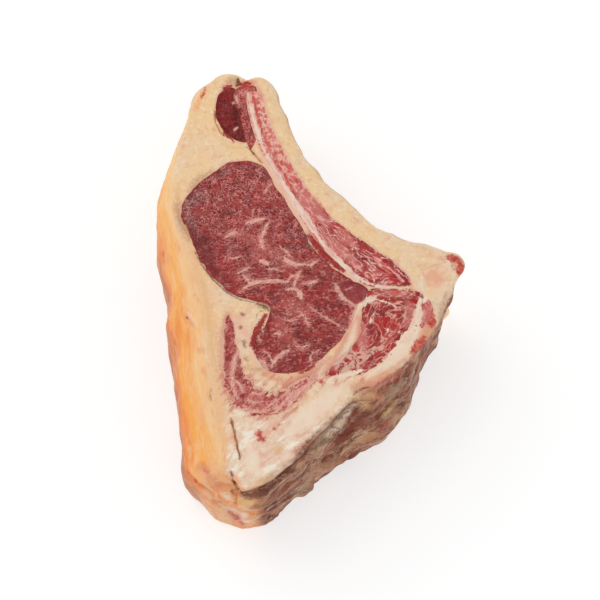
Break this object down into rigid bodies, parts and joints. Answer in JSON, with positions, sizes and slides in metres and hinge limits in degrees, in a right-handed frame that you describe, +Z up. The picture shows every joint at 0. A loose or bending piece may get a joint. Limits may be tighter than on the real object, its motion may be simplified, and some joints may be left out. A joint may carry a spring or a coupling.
{
  "type": "ribeye roast",
  "caption": "Raw bone-in ribeye roast with a thick fat cap, rib and backbone, lying on one sawn face with the marbled eye up.",
  "frame": {"origin": "middle of the footprint's bounding box, on the surface that the roast lies on", "axes": "+Z up through the sawn faces, +Y from the dorsal corner to the cut end of the rib, -X towards the fat cap, +X towards the backbone's tip"},
  "size_m": [0.2116, 0.3098, 0.085],
  "materials": {
    "fat": "satin, slightly moist beef fat: cream on the cut, yellow to orange on the cap, dry brown along the backbone",
    "lean_meat": "moist dark red lean meat with fine pale marbling",
    "dark_meat": "moist, very dark red lean meat",
    "red_bone": "sawn spongy bone, red marrow between pale struts",
    "pale_bone": "sawn gristle and pale bone, satin"
  },
  "bodies": {
    "root": {"fat_cover": "fat", "eye_muscle": "lean_meat", "multifidus_muscle": "dark_meat", "side_muscle": "lean_meat", "tail_muscle": "dark_meat", "rib_meat": "lean_meat", "rib_bone": "red_bone", "vertebra": "red_bone", "chine_bone": "pale_bone"}
  },
  "joints": []
}
